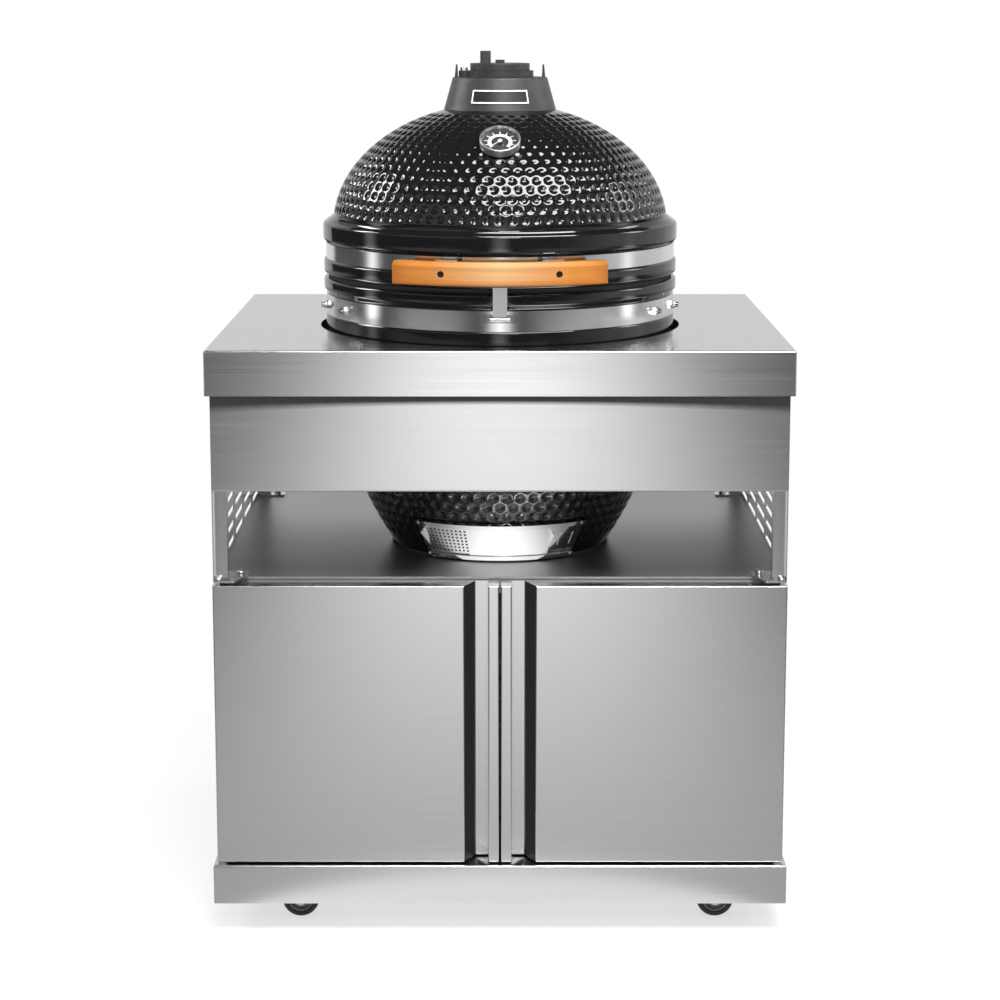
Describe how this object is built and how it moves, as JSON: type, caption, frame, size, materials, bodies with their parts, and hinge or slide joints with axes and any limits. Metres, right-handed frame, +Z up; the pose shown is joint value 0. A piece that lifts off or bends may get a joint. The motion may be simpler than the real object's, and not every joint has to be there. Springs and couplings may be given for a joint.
{
  "type": "freestanding outdoor kitchen",
  "caption": "Stainless-steel outdoor kitchen cabinet on castors with doors, an open bay and a black ceramic charcoal grill set through its worktop",
  "frame": {"origin": "on the floor below the middle of the worktop and plinth", "axes": "+Z up, front of the cabinet towards -Y, +X to the right of someone facing the front"},
  "size_m": [0.89, 0.725, 1.3559],
  "materials": {
    "cabinet_steel": "brushed",
    "band_steel": "satin",
    "bright_steel": "polished",
    "zinc": "zinc plated",
    "castor_rubber": "matte",
    "black_glaze": "gloss glaze",
    "fire_clay": "matte",
    "felt": "felt",
    "cast_iron": "seasoned",
    "bamboo": "oiled",
    "chrome": "polished",
    "dial_white": "painted",
    "clear_glass": "clear"
  },
  "bodies": {
    "cabinet": {"worktop": "cabinet_steel", "front_fascia": "cabinet_steel", "rear_fascia": "cabinet_steel", "right_vent_panel": "cabinet_steel", "left_vent_panel": "cabinet_steel", "front_right_post": "cabinet_steel", "front_left_post": "cabinet_steel", "rear_right_post": "cabinet_steel", "rear_left_post": "cabinet_steel", "deck": "cabinet_steel", "right_side_panel": "cabinet_steel", "left_side_panel": "cabinet_steel", "back_panel": "cabinet_steel", "plinth": "cabinet_steel", "castor_rails": "cabinet_steel", "lower_band": "band_steel", "draft_frame": "band_steel", "latch_bracket": "band_steel", "lower_hinge_bracket": "band_steel", "foot_plate_bolts": "bright_steel", "door_pivot_pins": "bright_steel", "band_bolts": "bright_steel", "hinge_pin": "bright_steel", "cooking_grate": "bright_steel", "castor_plates": "zinc", "base_shell": "black_glaze", "fire_box": "fire_clay", "fire_ring": "fire_clay", "seat_ring": "fire_clay", "base_gasket": "felt", "charcoal_grate": "cast_iron"},
    "lid": {"lid_shell": "black_glaze", "lid_gasket": "felt", "upper_band": "band_steel", "handle": "bamboo", "handle_bracket": "bright_steel", "upper_hinge_bracket": "band_steel", "vent_cap": "cast_iron", "cap_horns": "cast_iron", "vent_pivot_bolt": "bright_steel", "thermometer_case": "chrome", "thermometer_glass": "clear_glass"},
    "vent_disc": {"vent_disc": "cast_iron"},
    "daisy_wheel": {"daisy_wheel": "cast_iron"},
    "thermometer_needle": {"thermometer_needle": "dial_white"},
    "left_door": {"left_door_skin": "cabinet_steel", "left_door_liner": "cabinet_steel"},
    "right_door": {"right_door_skin": "cabinet_steel", "right_door_liner": "cabinet_steel"},
    "draft_door": {"draft_door": "band_steel"},
    "draft_screen": {"draft_screen": "band_steel"},
    "latch": {"latch_strap": "band_steel"},
    "front_left_fork": {"front_left_castor_fork": "zinc"},
    "front_left_wheel": {"front_left_castor_wheel": "castor_rubber"},
    "front_right_fork": {"front_right_castor_fork": "zinc"},
    "front_right_wheel": {"front_right_castor_wheel": "castor_rubber"},
    "rear_left_fork": {"rear_left_castor_fork": "zinc"},
    "rear_left_wheel": {"rear_left_castor_wheel": "castor_rubber"},
    "rear_right_fork": {"rear_right_castor_fork": "zinc"},
    "rear_right_wheel": {"rear_right_castor_wheel": "castor_rubber"}
  },
  "joints": [
    {"name": "lid_hinge", "type": "hinge", "parent": "cabinet", "child": "lid", "pos_m": [0, 0.2855, 1], "axis": [-1, 0, 0], "range_deg": [0, 75]},
    {"name": "left_door_hinge", "type": "hinge", "parent": "cabinet", "child": "left_door", "pos_m": [-0.43, -0.349, 0.33], "axis": [0, 0, -1], "range_deg": [0, 105]},
    {"name": "right_door_hinge", "type": "hinge", "parent": "cabinet", "child": "right_door", "pos_m": [0.43, -0.349, 0.33], "axis": [0, 0, 1], "range_deg": [0, 105]},
    {"name": "draft_door_slide", "type": "hinge", "parent": "cabinet", "child": "draft_door", "pos_m": [0, -0.0325, 0.595], "axis": [0, 0, 1], "range_deg": [0, 13]},
    {"name": "draft_screen_slide", "type": "hinge", "parent": "cabinet", "child": "draft_screen", "pos_m": [0, -0.0325, 0.595], "axis": [0, 0, 1], "range_deg": [0, 9]},
    {"name": "latch_hinge", "type": "hinge", "parent": "cabinet", "child": "latch", "pos_m": [0, -0.3233, 0.957], "axis": [1, 0, 0], "range_deg": [0, 95]},
    {"name": "vent_swing", "type": "hinge", "parent": "lid", "child": "vent_disc", "pos_m": [-0.058, -0.0325, 1.319], "axis": [0, 0, 1], "range_deg": [0, 70]},
    {"name": "daisy_turn", "type": "hinge", "parent": "vent_disc", "child": "daisy_wheel", "pos_m": [0, -0.0325, 1.328], "axis": [0, 0, 1], "range_deg": [0, 36]},
    {"name": "needle_turn", "type": "hinge", "parent": "lid", "child": "thermometer_needle", "pos_m": [0, -0.2235, 1.21547], "axis": [0, 0.5875, -0.8092], "range_deg": [0, 270]},
    {"name": "front_left_swivel", "type": "hinge", "parent": "cabinet", "child": "front_left_fork", "pos_m": [-0.328, -0.2875, 0.075], "axis": [0, 0, 1], "continuous": true},
    {"name": "front_left_roll", "type": "hinge", "parent": "front_left_fork", "child": "front_left_wheel", "pos_m": [-0.3155, -0.2875, 0.029], "axis": [0, 1, 0], "continuous": true},
    {"name": "front_right_swivel", "type": "hinge", "parent": "cabinet", "child": "front_right_fork", "pos_m": [0.328, -0.2875, 0.075], "axis": [0, 0, 1], "continuous": true},
    {"name": "front_right_roll", "type": "hinge", "parent": "front_right_fork", "child": "front_right_wheel", "pos_m": [0.3405, -0.2875, 0.029], "axis": [0, 1, 0], "continuous": true},
    {"name": "rear_left_swivel", "type": "hinge", "parent": "cabinet", "child": "rear_left_fork", "pos_m": [-0.328, 0.2875, 0.075], "axis": [0, 0, 1], "continuous": true},
    {"name": "rear_left_roll", "type": "hinge", "parent": "rear_left_fork", "child": "rear_left_wheel", "pos_m": [-0.3155, 0.2875, 0.029], "axis": [0, 1, 0], "continuous": true},
    {"name": "rear_right_swivel", "type": "hinge", "parent": "cabinet", "child": "rear_right_fork", "pos_m": [0.328, 0.2875, 0.075], "axis": [0, 0, 1], "continuous": true},
    {"name": "rear_right_roll", "type": "hinge", "parent": "rear_right_fork", "child": "rear_right_wheel", "pos_m": [0.3405, 0.2875, 0.029], "axis": [0, 1, 0], "continuous": true}
  ]
}
